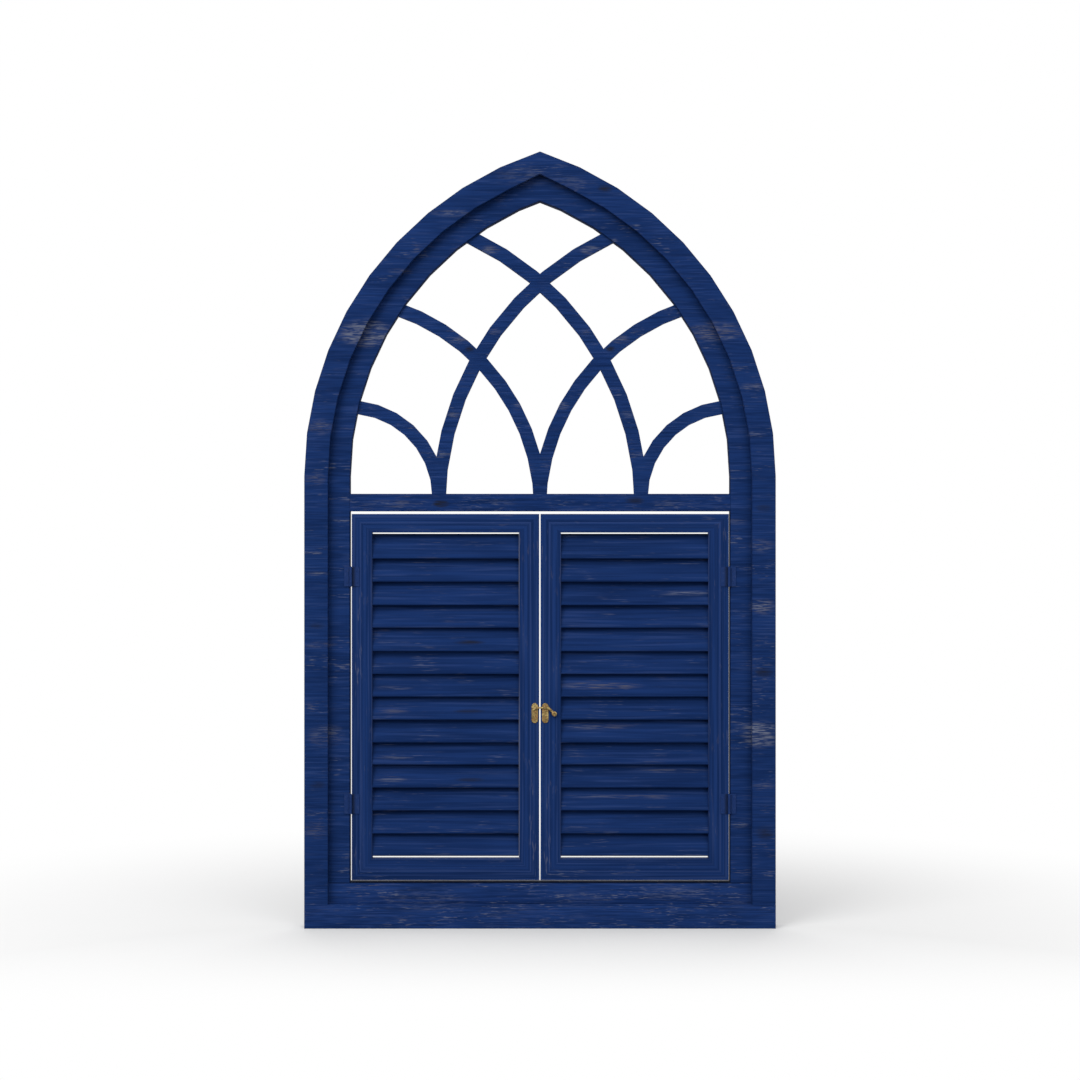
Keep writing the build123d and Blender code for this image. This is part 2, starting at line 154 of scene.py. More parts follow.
class Graph:
    """The node tree of a material or of the world."""

    # The Mix node's colour inputs and colour output, by socket number
    MIX_COLOURS = (6, 7)
    MIX_RESULT = 2

    def __init__(self, owner: bpy.types.Material | bpy.types.World) -> None:
        """Clear the owner's nodes."""
        self.owner = owner
        owner.use_nodes = True
        self.tree = owner.node_tree
        self.tree.nodes.clear()

    @classmethod
    def named(cls, name: str) -> "Graph":
        """Return the graph of a new material of this name."""
        return cls(bpy.data.materials.new(name))

    def node(
        self, kind: str, settings: dict | None = None, inputs: dict | None = None, output: int | str = 0
    ) -> Signal:
        """Add a node.

        Args:
            kind: The node's type.
            settings: Its attributes; "stops" holds a ramp's (place, colour) pairs.
            inputs: Values or signals by socket name or number.
            output: The output that is returned.

        Returns:
            The chosen output as a signal.
        """
        made = self.tree.nodes.new(kind)
        for key, value in (settings or {}).items():
            if key == "stops":
                self._set_stops(made.color_ramp, value)
            else:
                setattr(made, key, value)
        for key, value in (inputs or {}).items():
            if isinstance(value, Signal):
                self.tree.links.new(value.socket, made.inputs[key])
            else:
                made.inputs[key].default_value = value
        return Signal(self, made.outputs[output] if made.outputs else None)

    @staticmethod
    def _set_stops(ramp: bpy.types.ColorRamp, stops: list[tuple[float, tuple]]) -> None:
        """Give a colour ramp its stops.

        Args:
            ramp: The ramp to fill.
            stops: Pairs of place and colour.
        """
        while len(ramp.elements) < len(stops):
            ramp.elements.new(0.5)
        for element, (place, colour) in zip(ramp.elements, stops):
            element.position = place
            element.color = (*colour, 1.0)

    def place(self) -> Signal:
        """Return the place on the piece, in Object coordinates."""
        return self.node("ShaderNodeTexCoord", output="Object")

    def attribute(self, name: str) -> Signal:
        """Return the piece's own value of this name at each point."""
        return self.node("ShaderNodeAttribute", {"attribute_name": name}, output="Fac")

    def scaled(self, where: Signal, stretch: Place, shift: Place) -> Signal:
        """Return where * stretch + shift.

        Args:
            where: The place in metres.
            stretch: Its scale along each axis.
            shift: What is added to it.

        Returns:
            The new place.
        """
        inputs = {0: where, 1: stretch, 2: shift}
        return self.node("ShaderNodeVectorMath", {"operation": "MULTIPLY_ADD"}, inputs)

    def noise(
        self,
        where: Signal,
        stretch: Place,
        shift: Place = (0.0, 0.0, 0.0),
        detail: float = 2.0,
        roughness: float = 0.5,
    ) -> Signal:
        """Return a noise value from 0 to 1 at where * stretch + shift.

        Args:
            where: The place in metres.
            stretch: The pattern's repeats per metre along each axis.
            shift: Where the pattern starts.
            detail: Its number of octaves.
            roughness: How strong the finer octaves are.

        Returns:
            The noise as a value.
        """
        place = self.scaled(where, stretch, shift)
        inputs = {"Vector": place, "Scale": 1.0, "Detail": detail, "Roughness": roughness}
        return self.node("ShaderNodeTexNoise", {}, inputs)

    def blend(self, share: "Signal | float", first: "Signal | tuple", second: "Signal | tuple") -> Signal:
        """Return a mix of two colours.

        Args:
            share: How much of the second colour shows.
            first: The first colour.
            second: The second colour.

        Returns:
            The mixed colour.
        """
        before, after = self.MIX_COLOURS
        inputs = {0: share, before: _with_alpha(first), after: _with_alpha(second)}
        return self.node("ShaderNodeMix", {"data_type": "RGBA"}, inputs, self.MIX_RESULT)

    def coat(
        self, colour: Signal, roughness: Signal, height: Signal, bump: Point, others: dict[str, float]
    ) -> bpy.types.Material:
        """Return the material finished as one Principled surface with a bump.

        Args:
            colour: Its colour.
            roughness: Its roughness.
            height: The height that the bump follows.
            bump: The bump's strength and distance.
            others: The surface's further inputs by name.

        Returns:
            The material.
        """
        inputs = {"Strength": bump[0], "Distance": bump[1], "Height": height}
        normal = self.node("ShaderNodeBump", {}, inputs)
        looks = {"Base Color": colour, "Roughness": roughness, "Normal": normal, **others}
        return self.finish(self.node("ShaderNodeBsdfPrincipled", {}, looks))

    def finish(self, surface: Signal) -> bpy.types.Material | bpy.types.World:
        """Join the surface to the output and return the material or world."""
        kind = "World" if isinstance(self.owner, bpy.types.World) else "Material"
        self.node(f"ShaderNodeOutput{kind}", inputs={0: surface})
        return self.owner


def _with_alpha(colour: "Signal | tuple") -> "Signal | tuple":
    """Return a colour with an alpha of 1, or a signal as it is."""
    return colour if isinstance(colour, Signal) else (*colour, 1.0)


def tone(red: int, green: int, blue: int) -> tuple[float, float, float]:
    """Return a display colour (0 to 255) as linear light: ((c + 0.055) / 1.055) ^ 2.4."""
    shares = (value / 255 for value in (red, green, blue))
    return tuple(((c + 0.055) / 1.055) ** 2.4 if c > 0.04 else c / 12.92 for c in shares)


@dataclass(frozen=True)
class Patch:
    """An oval on the front face where the paint has worn: its middle, half sizes and strength."""

    x: float
    z: float
    wide: float
    high: float
    strength: float = 1.0


@dataclass(frozen=True)
class WornPaint:
    """Blue paint brushed thinly over timber, so that its grain and old paint show."""

    name: str
    grain: Grain = Grain.LEVEL
    lines: float = 210.0
    run: float = 5.0
    contrast: float = 1.0
    strays: float = 0.0
    gathered: Point = (0.5, 0.66)
    worn: tuple[Patch, ...] = ()
    stained: tuple[Patch, ...] = ()
    mirrored: bool = False
    shift: Place = (0.0, 0.0, 0.0)
    base: tuple = field(default_factory=lambda: tone(26, 51, 102))
    deep: tuple = field(default_factory=lambda: tone(13, 32, 70))
    line: tuple = field(default_factory=lambda: tone(44, 63, 110))
    bare: tuple = field(default_factory=lambda: tone(116, 121, 136))
    brown: tuple = field(default_factory=lambda: tone(88, 86, 94))
    stain: tuple = field(default_factory=lambda: tone(28, 32, 46))
    # the colour of the painted shade strip at a member's inner edge
    stain_and_painted_shade: tuple = field(default_factory=lambda: tone(3, 14, 38))
    dashes: Point = (30.0, 360.0)
    bead: Point = (0.0225, 0.0103)
    painted_shade_strip: tuple[float, ...] = ()

    def _grain(self, graph: Graph) -> Signal:
        """Return the place in the grain, as along it, through it and across it.

        Args:
            graph: The material's graph.

        Returns:
            Object coordinates, or for a framed leaf (x + z, y, distance from the leaf's outer edge).
        """
        place = graph.place()
        if self.grain is Grain.LEVEL:
            return place
        split = graph.node("ShaderNodeSeparateXYZ", inputs={0: place})
        across = graph.attribute("across")
        return graph.node(
            "ShaderNodeCombineXYZ", inputs={"X": split + split.other("Z"), "Y": split.other("Y"), "Z": across}
        )

    def _patches(self, graph: Graph, patches: tuple[Patch, ...]) -> Signal | float:
        """Return how worn a place is: the largest of s (1 - dx^2 / w^2 - dz^2 / h^2) over the patches.

        Args:
            graph: The material's graph.
            patches: The patches.

        Returns:
            The wear, 0 outside all patches.
        """
        place = graph.place()
        if self.mirrored:
            place = graph.node("ShaderNodeVectorMath", {"operation": "ABSOLUTE"}, {0: place})
        most: Signal | float = 0.0
        for patch in patches:
            stretch = (1 / patch.wide, 0.0, 1 / patch.high)
            shift = (-patch.x / patch.wide, 0.0, -patch.z / patch.high)
            oval = graph.scaled(place, stretch, shift)
            product = {"operation": "DOT_PRODUCT"}
            reach = graph.node("ShaderNodeVectorMath", product, {0: oval, 1: oval}, "Value")
            most = ((1.0 - reach) * patch.strength).larger(most)
        return most

    def _bead(self, graph: Graph) -> Signal:
        """Return the faint planed lines round a leaf: a cosine of the distance from its outer edge.

        Args:
            graph: The material's graph.

        Returns:
            A value from -1 to 1, strongest at the line that bead[0] names, repeating every bead[1].
        """
        middle, pitch = self.bead
        across = graph.attribute("across")
        from_middle = across - middle
        wave = graph.node("ShaderNodeMath", {"operation": "COSINE"}, {0: from_middle * (2 * math.pi / pitch)})
        near = graph.node("ShaderNodeMath", {"operation": "ABSOLUTE"}, {0: from_middle})
        return wave * (1.0 - 0.65 * near.band(0.003, 0.009))

    def build(self) -> bpy.types.Material:
        """Return the paint as a material.

        Returns:
            A material that reads Object coordinates and the piece's "edge" and "across" attributes.
        """
        graph = Graph.named(self.name)
        place = self._grain(graph)
        broad = graph.noise(place, (2.2, 5.0, 16.0), self.shift, 3.0, 0.6)
        fibre = graph.noise(place, (self.run, 70.0, self.lines), self.shift, 2.0, 0.7)
        thread = graph.noise(place, (self.run * 1.6, 60.0, self.lines * 1.3), (7.1, 2.0, 3.3), 1.0, 0.5)
        gather = graph.noise(place, (9.0, 9.0, 26.0), self.shift, 3.0, 0.6)
        dash = graph.noise(place, (self.dashes[0], 60.0, self.dashes[1]), self.shift, 2.0, 0.6)
        edge = graph.attribute("edge")
        share = fibre.band(0.34, 0.66) * (0.55 * self.contrast) + broad.band(0.3, 0.7) * 0.3 + 0.15
        colour = graph.blend(share, self.deep, self.base)
        pale = thread.band(0.54, 0.7) * broad.band(0.25, 0.6)
        colour = graph.blend(pale * (0.6 * self.contrast), colour, self.line)
        height = fibre * 0.7 + dash * 0.2
        if self.grain is Grain.FRAMED:
            bead = self._bead(graph)
            colour = graph.blend(bead.band(0.1, 1.0) * 0.6, colour, self.line)
            colour = graph.blend((0.0 - bead).band(0.2, 1.0) * 0.35, colour, self.deep)
            height = height + bead * 0.5
        rubbed = gather.band(*self.gathered) * dash.band(0.56, 0.68) * self.strays
        if self.worn:
            worn = (self._patches(graph, self.worn) * (0.2 + 1.4 * gather)).band(0.02, 0.75)
            rubbed = (worn * (0.06 + 0.94 * dash.band(0.45, 0.6))).larger(rubbed)
        tint = graph.blend(broad.band(0.42, 0.62), self.bare, self.brown)
        colour = graph.blend(rubbed * 0.66, colour, tint)
        if self.stained:
            stain_and_painted_shade = self._patches(graph, self.stained) * (0.4 + gather)
            soiled = stain_and_painted_shade.band(0.05, 0.6) * (0.5 + 0.5 * dash.band(0.4, 0.6))
            colour = graph.blend(soiled, colour, self.stain)
        # Painted shade: the strip between the two given distances from the outer edge is darkened, standing
        # for shade in the reveal and under the leaves.
        if self.painted_shade_strip:
            across = graph.attribute("across")
            low, high, share = self.painted_shade_strip
            colour = graph.blend(across.band(low, high) * share, colour, self.stain_and_painted_shade)
        rub = edge * thread.band(0.3, 0.6)
        colour = graph.blend(rub * 0.8, colour, self.bare)
        height = height - rubbed * 0.35 - rub * 0.2
        return graph.coat(colour, 0.62 + 0.2 * rubbed, height, (0.3, 0.0006), {"Specular IOR Level": 0.01})


@dataclass(frozen=True)
class PaintedSteel:
    """Steel hinges painted over with the frame, with a painted shadow on the plate beside each knuckle."""

    name: str = "painted_hinge"
    base: tuple = field(default_factory=lambda: tone(20, 44, 92))
    rubbed: tuple = field(default_factory=lambda: tone(48, 64, 104))
    # the colour of the painted shadow beside the knuckles
    stain_and_painted_shade: tuple = field(default_factory=lambda: tone(10, 24, 52))
    knuckle_edge: float = 0.4795

    def build(self) -> bpy.types.Material:
        """Return the paint as a material that reads Object coordinates."""
        graph = Graph.named(self.name)
        place = graph.place()
        even = graph.node("ShaderNodeVectorMath", {"operation": "ABSOLUTE"}, {0: place})
        inward = self.knuckle_edge - graph.node("ShaderNodeSeparateXYZ", inputs={0: even})
        speck = graph.noise(place, (160.0, 160.0, 110.0), detail=4.0, roughness=0.6)
        brush = graph.noise(place, (60.0, 60.0, 400.0))
        colour = graph.blend(speck.band(0.52, 0.75) * 0.45, self.base, self.rubbed)
        # Painted shadow: the strip of plate just inside each knuckle, where the knuckle's shade falls, is
        # darkened.
        corner = inward.band(-0.001, 0.001) * (1.0 - inward.band(0.003, 0.011))
        colour = graph.blend(corner * 0.9, colour, self.stain_and_painted_shade)
        sheen = {"Specular IOR Level": 0.1}
        return graph.coat(colour, 0.5 + 0.15 * speck, brush + speck, (0.3, 0.0005), sheen)


@dataclass(frozen=True)
class AgedBrass:
    """Brass gone dull and brown in its hollows, with brighter rubbed spots."""

    name: str = "aged_brass"
    bright: tuple = field(default_factory=lambda: tone(162, 142, 92))
    dull: tuple = field(default_factory=lambda: tone(118, 101, 58))
    reddish: tuple = field(default_factory=lambda: tone(134, 99, 58))
    brown: tuple = field(default_factory=lambda: tone(74, 56, 36))

    def build(self) -> bpy.types.Material:
        """Return the brass as a material that reads Object coordinates and the piece's "edge" attribute."""
        graph = Graph.named(self.name)
        place = graph.place()
        cloud = graph.noise(place, (130.0, 130.0, 110.0), detail=3.0, roughness=0.6)
        speck = graph.noise(place, (300.0, 300.0, 300.0), (3.0, 5.0, 1.0), 4.0, 0.6)
        edge = graph.attribute("edge")
        warm = graph.noise(place, (170.0, 170.0, 150.0), (8.0, 1.0, 4.0), 2.0)
        colour = graph.blend(warm.band(0.42, 0.62), self.dull, self.reddish)
        colour = graph.blend((cloud.band(0.4, 0.62) + edge * 0.4).band(0.0, 1.0), colour, self.bright)
        colour = graph.blend(speck.band(0.5, 0.62) * 0.75, colour, self.brown)
        return graph.coat(colour, 0.42 + 0.25 * speck, speck + cloud, (0.35, 0.0003), {"Metallic": 0.7})


# Surfaces


@dataclass
class Surface:
    """Points and faces of one mesh before it is made, with two values at each point.

    "edge" is how much the place is rubbed, and "across" how far it is from the member's outer edge.
    """

    points: np.ndarray
    faces: list[tuple[int, ...]]
    edge: np.ndarray
    across: np.ndarray

    def volume(self) -> float:
        """Return the signed volume: the sum of a . (b x c) / 6 over each face's fan of triangles."""
        total = 0.0
        by_size: dict[int, list[tuple[int, ...]]] = {}
        for face in self.faces:
            by_size.setdefault(len(face), []).append(face)
        for size, faces in by_size.items():
            corner = self.points[np.array(faces)]
            for k in range(1, size - 1):
                total += np.einsum("ij,ij->", corner[:, 0], np.cross(corner[:, k], corner[:, k + 1])) / 6
        return total

    def outward(self) -> "Surface":
        """Return the surface with its faces turned outwards."""
        if self.volume() < 0:
            self.faces = [face[::-1] for face in self.faces]
        return self

    def joined(self, other: "Surface") -> "Surface":
        """Return both surfaces as one.

        Args:
            other: The surface to add.

        Returns:
            One surface with the points and faces of both.
        """
        start = len(self.points)
        moved = [tuple(index + start for index in face) for face in other.faces]
        return Surface(
            np.vstack([self.points, other.points]),
            self.faces + moved,
            np.concatenate([self.edge, other.edge]),
            np.concatenate([self.across, other.across]),
        )

    def mirrored(self) -> "Surface":
        """Return the surface mirrored in X, with its faces turned to match."""
        turned = [face[::-1] for face in self.faces]
        return Surface(self.points * np.array([-1.0, 1.0, 1.0]), turned, self.edge, self.across)


def grid_faces(rows: int, columns: int) -> list[tuple[int, ...]]:
    """Return the quads of a grid whose last column joins the first: (i, j), (i, j+1), (i+1, j+1), (i+1, j).

    Args:
        rows: The number of stations along the path.
        columns: The number of points around the section.

    Returns:
        One tuple of four point numbers per quad.
    """
    i, j = np.meshgrid(np.arange(rows - 1), np.arange(columns), indexing="ij")
    after = (j + 1) % columns
    this, following = i * columns, (i + 1) * columns
    quads = np.stack([this + j, this + after, following + after, following + j], -1)
    return [tuple(quad) for quad in quads.reshape(-1, 4).tolist()]


def tube_surface(
    grid: np.ndarray, edge: np.ndarray | float = 0.0, across: np.ndarray | float = 0.0
) -> Surface:
    """Return a closed surface from rings of points: quads between rings and a flat cap at each end.

    Args:
        grid: Points as (stations, points around, 3).
        edge: Wear, as one number, one for each point around, or one for each point.
        across: Distance from the member's outer edge, given in the same way.

    Returns:
        The closed surface with its faces outwards.
    """
    rows, columns = grid.shape[:2]
    last = (rows - 1) * columns
    caps = [tuple(range(columns))[::-1], tuple(range(last, last + columns))]
    edge, across = (np.broadcast_to(value, (rows, columns)).ravel().copy() for value in (edge, across))
    return Surface(grid.reshape(-1, 3), grid_faces(rows, columns) + caps, edge, across).outward()


def joined(surfaces: list[Surface]) -> Surface:
    """Return several surfaces as one."""
    whole = surfaces[0]
    for surface in surfaces[1:]:
        whole = whole.joined(surface)
    return whole


@dataclass(frozen=True)
class Arris:
    """The rounded corners of a timber section and the strip beside them that wears."""

    radius: float = 0.0007
    strip: float = 0.0016
    steps: int = 3
    rub: tuple[float, float, float, float] = (0.0, 0.0, 0.0, 0.0)

    def ring(self) -> tuple[np.ndarray, np.ndarray]:
        """Return the section's corner table.

        Each corner is a quarter circle, r (1 - cos t, 1 - sin t) in from its sharp
        corner, with one more point at each end, a strip further along the flat.

        Returns:
            Rows of (edge across, edge in depth, share of r across, share of r in depth,
            strip across, strip in depth), and the wear of each row.
        """
        turn = np.linspace(0, math.pi / 2, self.steps + 1)
        rows, wear = [], []
        for rub, (across, depth) in zip(self.rub, ((0, 0), (1, 0), (1, 1), (0, 1))):
            forward = (across + depth) % 2 == 0
            angle = turn if forward else turn[::-1]
            arc = np.zeros((self.steps + 3, 6))
            arc[:, 0], arc[:, 1] = across, depth
            arc[1:-1, 2], arc[1:-1, 3] = 1 - np.sin(angle), 1 - np.cos(angle)
            first, final = (3, 5) if forward else (2, 4), (2, 4) if forward else (3, 5)
            arc[0, first[0]], arc[0, first[1]] = 1, 1
            arc[-1, final[0]], arc[-1, final[1]] = 1, 1
            rows.append(arc)
            wear.append(np.r_[0.0, np.full(self.steps + 1, rub), 0.0])
        return np.vstack(rows), np.concatenate(wear)


def timber(
    outer: np.ndarray, inner: np.ndarray, front: float, back: float, arris: Arris, width: float
) -> Surface:
    """Return a timber member between two lines in the front view.

    Station i runs from outer[i] to inner[i]. The section point at a across and y deep is
    outer[i] + (inner[i] - outer[i]) a / width, with a and y from the arris table.

    Args:
        outer: The (x, z) points of one edge.
        inner: The (x, z) points of the other edge.
        front: The depth of the front face.
        back: The depth of the back face.
        arris: The rounded corners.
        width: The member's width across its run.

    Returns:
        The member as a closed surface.
    """
    table, wear = arris.ring()
    across = arris.radius * table[:, 2] + (arris.radius + arris.strip) * table[:, 4]
    deep = arris.radius * table[:, 3] + (arris.radius + arris.strip) * table[:, 5]
    share = np.where(table[:, 0] > 0, width - across, across) / width
    depth = np.where(table[:, 1] > 0, back - deep, front + deep)
    flat = outer[:, None, :] + (inner - outer)[:, None, :] * share[None, :, None]
    grid = np.stack([flat[..., 0], np.broadcast_to(depth, flat.shape[:2]), flat[..., 1]], -1)
    return tube_surface(grid, wear, share * width)


def lathe(
    profile: list[Point], centre: Place, axis: Axis = Axis.FORWARD, steps: int = 28
) -> Surface:
    """Return a turned shape: r (cos t, sin t) about the axis, at height h along it.

    Args:
        profile: Pairs of radius r and height h, from the foot to the top.
        centre: The axis's foot.
        axis: The way that the axis points.
        steps: Points around.

    Returns:
        The closed turned surface.
    """
    radius, height = np.array(profile).T
    angle = np.linspace(0, 2 * math.pi, steps, endpoint=False)
    wide, high = radius[:, None] * np.cos(angle), radius[:, None] * np.sin(angle)
    along = np.broadcast_to(height[:, None], wide.shape)
    offset = (wide, -along, high) if axis is Axis.FORWARD else (wide, high, along)
    return tube_surface(np.stack(offset, -1) + np.array(centre))


def plate(outline: np.ndarray, back: float, front: float, soften: float, steps: int = 4) -> Surface:
    """Return a plate with a softened front edge.

    The outline's ring at angle t is c + (p - c)(1 - s (1 - cos t) / R), at depth front + s (1 - sin t),
    with c the outline's middle and R its least reach.

    Args:
        outline: The (x, z) points round the plate.
        back: The depth of its back.
        front: The depth of its front.
        soften: The edge's rounding s.
        steps: Rings in the rounding.

    Returns:
        The closed plate, its edge marked as rubbed.
    """
    middle = outline.mean(axis=0)
    reach = np.linalg.norm(outline - middle, axis=1).min()
    angle = np.linspace(0, math.pi / 2, steps + 1)
    shrink = np.r_[1.0, 1 - soften * (1 - np.cos(angle)) / reach]
    depth = np.r_[back, front + soften * (1 - np.sin(angle))]
    flat = middle + (outline - middle)[None] * shrink[:, None, None]
    grid = np.stack([flat[..., 0], np.broadcast_to(depth[:, None], flat.shape[:2]), flat[..., 1]], -1)
    edge = np.r_[0.0, np.sin(2 * angle) ** 0.5][:, None]
    return tube_surface(grid, edge)


def rounded_box(middle: Point, size: Point, corner: float, steps: int = 8) -> np.ndarray:
    """Return a rectangle's outline with rounded corners: each corner's centre + r (cos t, sin t).

    Args:
        middle: Its middle.
        size: Its width and height.
        corner: The corners' radius r.
        steps: Points in each corner.

    Returns:
        The (x, z) points.
    """
    angle = (np.arange(4)[:, None] * math.pi / 2 + np.linspace(0.02, math.pi / 2 - 0.02, steps)).ravel()
    core = (np.array(size) / 2 - corner) * np.sign(np.stack([np.cos(angle), np.sin(angle)], -1))
    return np.array(middle) + core + corner * np.stack([np.cos(angle), np.sin(angle)], -1)


def screw(middle: Point, surface: float, radius: float, proud: float, turn: float) -> Surface:
    """Return a slotted screw head: a low disc with two half discs on it, c + r (cos t, sin t), a slot apart.

    Args:
        middle: The screw's place in the front view.
        surface: The depth of the face that it sits in.
        radius: The head's radius.
        proud: How far it stands out.
        turn: The slot's angle.

    Returns:
        The screw head.
    """
    start = math.asin(0.16)
    slope = turn + np.linspace(start, math.pi - start, 11)
    half = radius * np.stack([np.cos(slope), np.sin(slope)], -1)
    place = np.array(middle)
    rim = radius * 0.96
    disc = lathe([(rim, 0.0), (rim, proud * 0.45)], (middle[0], surface, middle[1]), steps=20)
    halves = [plate(place + way * half, surface, surface - proud, proud * 0.5, 3) for way in (1, -1)]
    return joined([disc, *halves])


def squared(wave: np.ndarray) -> np.ndarray:
    """Return sign(s) |s| ^ 0.6, which squares an ellipse."""
    return np.sign(wave) * np.abs(wave) ** 0.6


def swept(path: np.ndarray, half_width: np.ndarray, back: float, thick: float, steps: int = 20) -> Surface:
    """Return a bar with a soft square section, carried along a path in the front view.

    With n the path's normal, a point is p + w q(cos t) n across and k (1 + q(sin t)) / 2 in front of
    the back, where q squares the ellipse.

    Args:
        path: The (x, z) points of the middle line.
        half_width: Half the bar's width w at each point.
        back: The depth of the bar's back.
        thick: The bar's thickness k.
        steps: Points around the section.

    Returns:
        The bar as a closed surface.
    """
    run = np.gradient(path, axis=0)
    run /= np.linalg.norm(run, axis=1)[:, None]
    normal = np.stack([-run[:, 1], run[:, 0]], -1)
    angle = np.linspace(0, 2 * math.pi, steps, endpoint=False)
    across = half_width[:, None] * squared(np.cos(angle))
    depth = np.broadcast_to(back - thick / 2 * (1 + squared(np.sin(angle))), across.shape)
    flat = path[:, None, :] + normal[:, None, :] * across[..., None]
    return tube_surface(np.stack([flat[..., 0], depth, flat[..., 1]], -1))


def eased(count: int, width: float, ends: tuple[float, float]) -> np.ndarray:
    """Return half widths along a bar that narrow at its ends: w sqrt(1 - (1 - d / e) ^ 2) within e of an end.

    Args:
        count: How many points there are.
        width: The bar's width.
        ends: The share of the bar that narrows, at its start and at its end.

    Returns:
        One half width for each point.
    """
    place = np.linspace(0, 1, count)
    drop = np.maximum(1 - place / max(ends[0], 1e-6), 1 - (1 - place) / max(ends[1], 1e-6)).clip(0, 0.97)
    return width / 2 * np.sqrt(1 - drop**2)


def curve_through(points: list[Point], count: int) -> np.ndarray:
    """Return a smooth line through points: Catmull-Rom, each span a cubic of its four nearest points.

    Args:
        points: The points in the front view.
        count: How many points the line gets in each span.

    Returns:
        The line's (x, z) points.
    """
    p = np.array([points[0], *points, points[-1]], float)
    t = np.linspace(0, 1, count, endpoint=False)[None, :, None]
    a, b, c, d = p[:-3, None], p[1:-2, None], p[2:-1, None], p[3:, None]
    line = 0.5 * (2 * b + (c - a) * t + (2 * a - 5 * b + 4 * c - d) * t**2 + (3 * b - a - 3 * c + d) * t**3)
    return np.vstack([line.reshape(-1, 2), p[-1:]])


def show(
    name: str,
    surface: Surface,
    material: bpy.types.Material,
    body: str,
    stands_for: tuple[str, ...] = (),
    smooth: float = 32.0,
) -> bpy.types.Object:
    """Make a piece from a surface and put it on its CAD body.

    Args:
        name: The piece's name.
        surface: Its points and faces.
        material: Its finish.
        body: The CAD body that it rides on.
        stands_for: The CAD nodes that it replaces.
        smooth: The angle in degrees below which neighbouring faces shade as one.

    Returns:
        The new object.
    """
    mesh = bpy.data.meshes.new(name)
    mesh.from_pydata(surface.points.tolist(), [], surface.faces)
    mesh.polygons.foreach_set("use_smooth", np.ones(len(mesh.polygons), bool))
    mesh.set_sharp_from_angle(angle=math.radians(smooth))
    for value, numbers in (("edge", surface.edge), ("across", surface.across)):
        mesh.attributes.new(value, "FLOAT", "POINT").data.foreach_set("value", numbers.astype(np.float32))
    mesh.materials.append(material)
    mesh.update()
    piece = bpy.data.objects.new(name, mesh)
    bpy.context.scene.collection.objects.link(piece)
    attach(piece, body)
    if stands_for:
        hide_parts(*stands_for)
    LOG.info("%s: %d faces on %s", name, len(mesh.polygons), body)
    return piece


# The frame


@dataclass(frozen=True)
class ArchLine:
    """The facetted lines of the pointed arch: corners at equal angles on circles about one centre."""

    half_width: float = 0.6
    spring: float = 1.152
    facets: int = 10
    sweep: float = math.radians(72.0)

    @property
    def radius(self) -> float:
        """The outer circle's radius: half width / (1 - cos sweep)."""
        return self.half_width / (1 - math.cos(self.sweep))

    def left(self, inset: float, to_middle: bool = True) -> np.ndarray:
        """Return the left half of the arch line at an inset from the outer edge.

        With r the circle's radius less the inset, its corners are centre + r (-cos t, sin t),
        t in steps of sweep / facets.

        Args:
            inset: The distance in from the outer edge.
            to_middle: Whether the last facet stops where it meets the middle plane.
                Otherwise its last corner is put on the middle plane.

        Returns:
            The (x, z) points, one for each of the arch's corners.
        """
        angle = np.arange(self.facets + 1) * self.sweep / self.facets
        centre, radius = self.radius - self.half_width, self.radius - inset
        line = np.stack([centre - radius * np.cos(angle), self.spring + radius * np.sin(angle)], -1)
        if inset == 0:
            return line
        before, beyond = line[-2], line[-1]
        if to_middle:
            line[-1] = before + (beyond - before) * (-before[0] / (beyond[0] - before[0]))
        line[-1, 0] = 0.0
        return line


